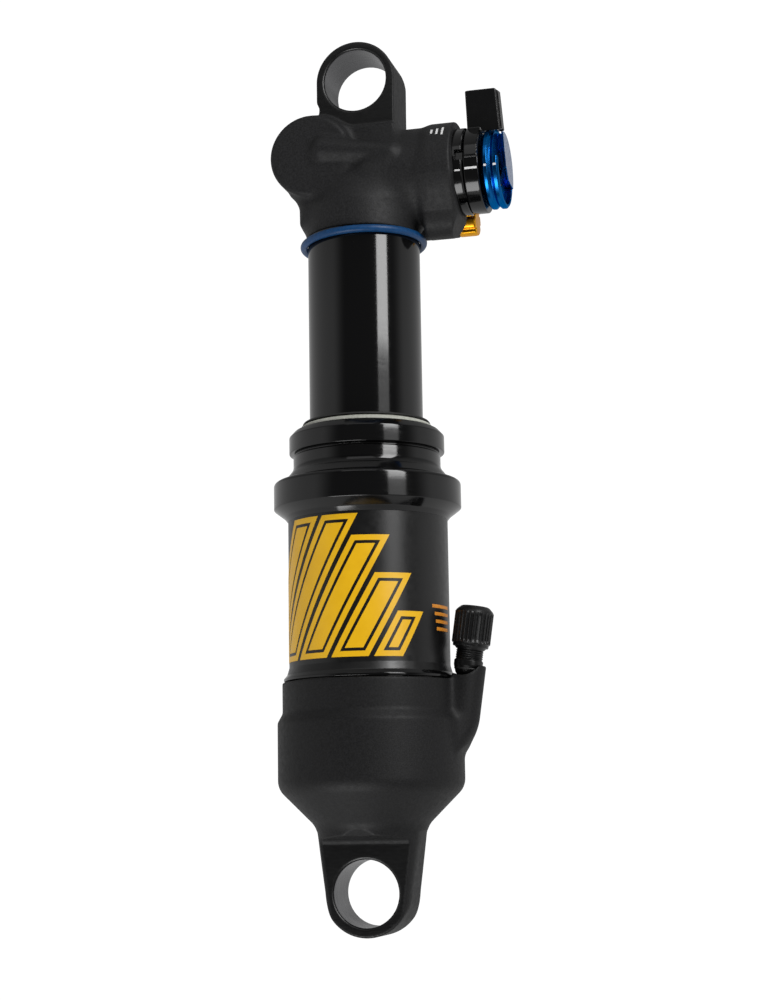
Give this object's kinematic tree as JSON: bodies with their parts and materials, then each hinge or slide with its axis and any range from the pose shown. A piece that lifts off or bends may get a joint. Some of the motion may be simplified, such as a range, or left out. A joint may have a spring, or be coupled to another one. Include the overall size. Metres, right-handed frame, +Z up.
{
  "type": "rear shock absorber",
  "caption": "Compact rear air shock for a bicycle: air can with a lower eye and valve, damper tube, cast head with an upper eye, climb lever, compression knob and rebound knob.",
  "frame": {"origin": "centre of the lower eye's bore", "axes": "+Z up the shock towards the upper eye, +X to the adjusters and the air valve, Y along both eye bores"},
  "size_m": [0.0565, 0.0434, 0.2092],
  "materials": {
    "matte_black_alloy": "matte blasted black anodised",
    "can_black": "satin black anodised",
    "gloss_black_alloy": "gloss black anodised",
    "lever_black": "satin black anodised",
    "blue_alloy": "blue anodised",
    "knob_face_alloy": "fine machined, pale blue",
    "gold_alloy": "gold anodised",
    "blue_rubber": "smooth",
    "black_rubber": "smooth",
    "wiper_white": "matte, off white",
    "guide_polymer": "matte",
    "bumper_foam": "matte",
    "bright_steel": "ground",
    "plain_alloy": "machined",
    "valve_black_brass": "black plated",
    "cap_plastic": "semi-gloss moulded"
  },
  "bodies": {
    "can_side": {"can_end_cap": "matte_black_alloy", "air_can": "can_black", "can_lower_oring": "black_rubber", "can_upper_oring": "black_rubber", "seal_head": "gloss_black_alloy", "wiper_carrier": "wiper_white", "wiper_lip": "black_rubber", "can_main_seal": "black_rubber", "can_bushing": "guide_polymer", "negative_bumper": "bumper_foam", "volume_spacer": "bumper_foam", "bottom_out_bumper": "bumper_foam", "damper_shaft": "bright_steel", "shaft_oring": "black_rubber", "main_piston": "plain_alloy", "piston_band": "guide_polymer", "compression_shims": "bright_steel", "rebound_shims": "bright_steel", "piston_nut": "bright_steel", "valve_stem": "valve_black_brass", "valve_stem_oring": "black_rubber", "valve_core": "bright_steel"},
    "valve_pin": {"valve_pin": "bright_steel"},
    "valve_cap": {"valve_cap": "cap_plastic", "cap_seal": "black_rubber"},
    "damper_side": {"damper_head": "matte_black_alloy", "damper_tube": "gloss_black_alloy", "tube_oring": "black_rubber", "air_piston": "plain_alloy", "air_piston_seal": "black_rubber", "air_piston_band": "guide_polymer", "shaft_bushing": "guide_polymer", "shaft_seal": "black_rubber", "top_out_bumper": "bumper_foam", "valve_cartridge": "gloss_black_alloy", "cartridge_oring": "black_rubber", "valve_block": "plain_alloy", "valve_shims": "bright_steel", "lever_detent": "bright_steel", "knob_retainer": "bright_steel", "rebound_sleeve": "plain_alloy", "reservoir_cap": "gloss_black_alloy", "reservoir_cap_oring": "black_rubber", "gas_fill_screw": "bright_steel"},
    "travel_ring": {"travel_ring": "blue_rubber"},
    "climb_lever": {"climb_lever": "lever_black"},
    "compression_knob": {"compression_knob": "blue_alloy", "knob_face": "knob_face_alloy"},
    "compression_needle": {"compression_needle": "bright_steel"},
    "rebound_knob": {"rebound_knob": "gold_alloy"},
    "rebound_needle": {"rebound_needle": "bright_steel"},
    "floating_piston": {"floating_piston": "plain_alloy", "floating_piston_seal": "black_rubber"}
  },
  "joints": [
    {"name": "stroke", "type": "slide", "parent": "can_side", "child": "damper_side", "axis": [0, 0, -1], "range_m": [0, 0.0425], "stiffness_N_per_m": 9000, "springref_m": -0.012},
    {"name": "travel_ring_slide", "type": "slide", "parent": "damper_side", "child": "travel_ring", "axis": [0, 0, 1], "range_m": [-0.0399, 0]},
    {"name": "climb_lever_turn", "type": "hinge", "parent": "damper_side", "child": "climb_lever", "pos_m": [0.0266, 0, 0.1665], "axis": [1, 0, 0], "range_deg": [0, 75]},
    {"name": "compression_turn", "type": "hinge", "parent": "damper_side", "child": "compression_knob", "pos_m": [0.0305, 0, 0.1665], "axis": [1, 0, 0], "range_deg": [-240, 0]},
    {"name": "compression_needle_slide", "type": "slide", "parent": "damper_side", "child": "compression_needle", "axis": [-1, 0, 0], "range_m": [-0.0011, 0]},
    {"name": "rebound_turn", "type": "hinge", "parent": "damper_side", "child": "rebound_knob", "pos_m": [0.0213, 0.0108, 0.1576], "axis": [1, 0, 0], "range_deg": [-300, 0]},
    {"name": "rebound_needle_slide", "type": "slide", "parent": "damper_side", "child": "rebound_needle", "axis": [-1, 0, 0], "range_m": [-0.0011, 0]},
    {"name": "floating_piston_slide", "type": "slide", "parent": "damper_side", "child": "floating_piston", "axis": [0, 1, 0], "range_m": [0, 0.0095]},
    {"name": "valve_pin_press", "type": "slide", "parent": "can_side", "child": "valve_pin", "axis": [-0.1478, 0, -0.989], "range_m": [0, 0.001], "stiffness_N_per_m": 1500, "springref_m": -0.0003},
    {"name": "valve_cap_off", "type": "slide", "parent": "can_side", "child": "valve_cap", "axis": [0.1478, 0, 0.989], "range_m": [0, 0.014]}
  ],
  "couplings": [
    {"joint": "compression_turn", "follows": "compression_needle_slide", "rad_per_m": 3807.9},
    {"joint": "rebound_turn", "follows": "rebound_needle_slide", "rad_per_m": 4759.9},
    {"joint": "floating_piston_slide", "follows": "stroke", "ratio": 0.22145}
  ]
}
